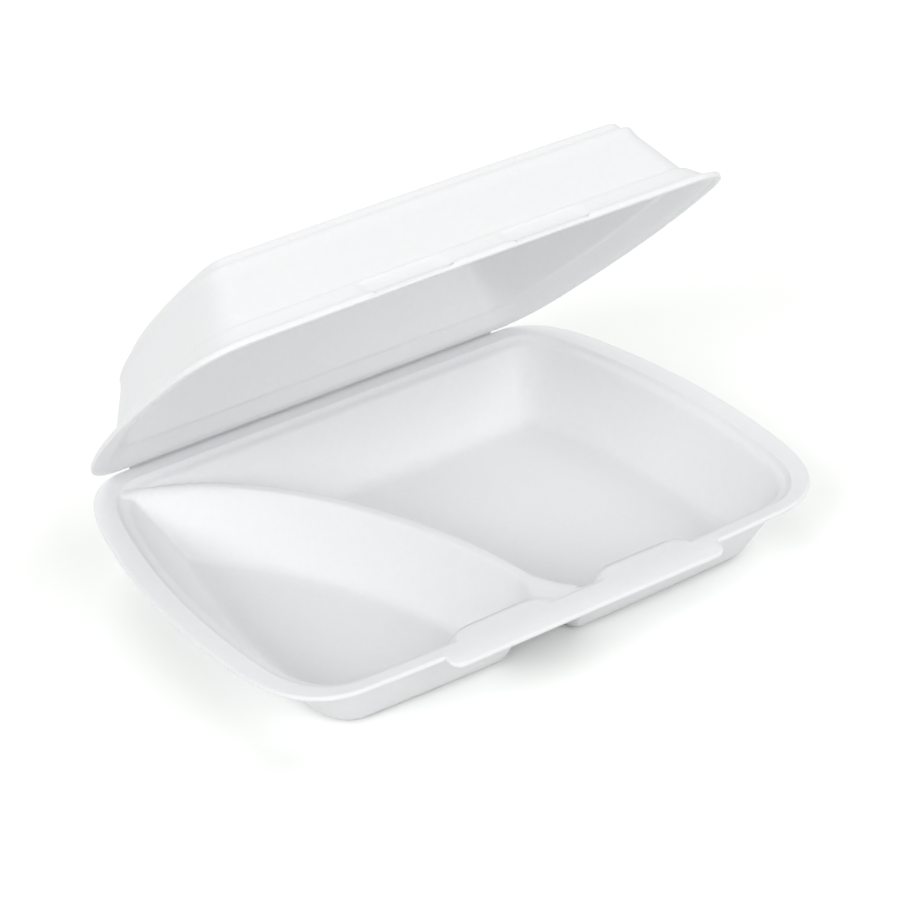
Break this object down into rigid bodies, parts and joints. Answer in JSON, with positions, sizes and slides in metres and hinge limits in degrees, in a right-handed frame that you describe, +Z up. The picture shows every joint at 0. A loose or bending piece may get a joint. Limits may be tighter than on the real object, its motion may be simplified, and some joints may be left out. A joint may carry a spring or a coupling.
{
  "type": "foam clamshell container",
  "caption": "White foam takeaway container with a curved divider in its tray and a lid that folds open along the back edge.",
  "frame": {"origin": "middle of the footprint, on the plane that the tray rests on", "axes": "+X along the hinge, towards the wide compartment; +Y from the latch edge to the hinge; +Z up"},
  "size_m": [0.2398, 0.2056, 0.1579],
  "materials": {
    "foam": "matte white expanded foam sheet with a fine cell texture"
  },
  "bodies": {
    "base": {"base_tray": "foam"},
    "lid": {"lid": "foam"}
  },
  "joints": [
    {"name": "lid_hinge", "type": "hinge", "parent": "base", "child": "lid", "pos_m": [0, 0.09856, 0.02955], "axis": [-1, 0, 0], "range_deg": [-38, 128]}
  ]
}
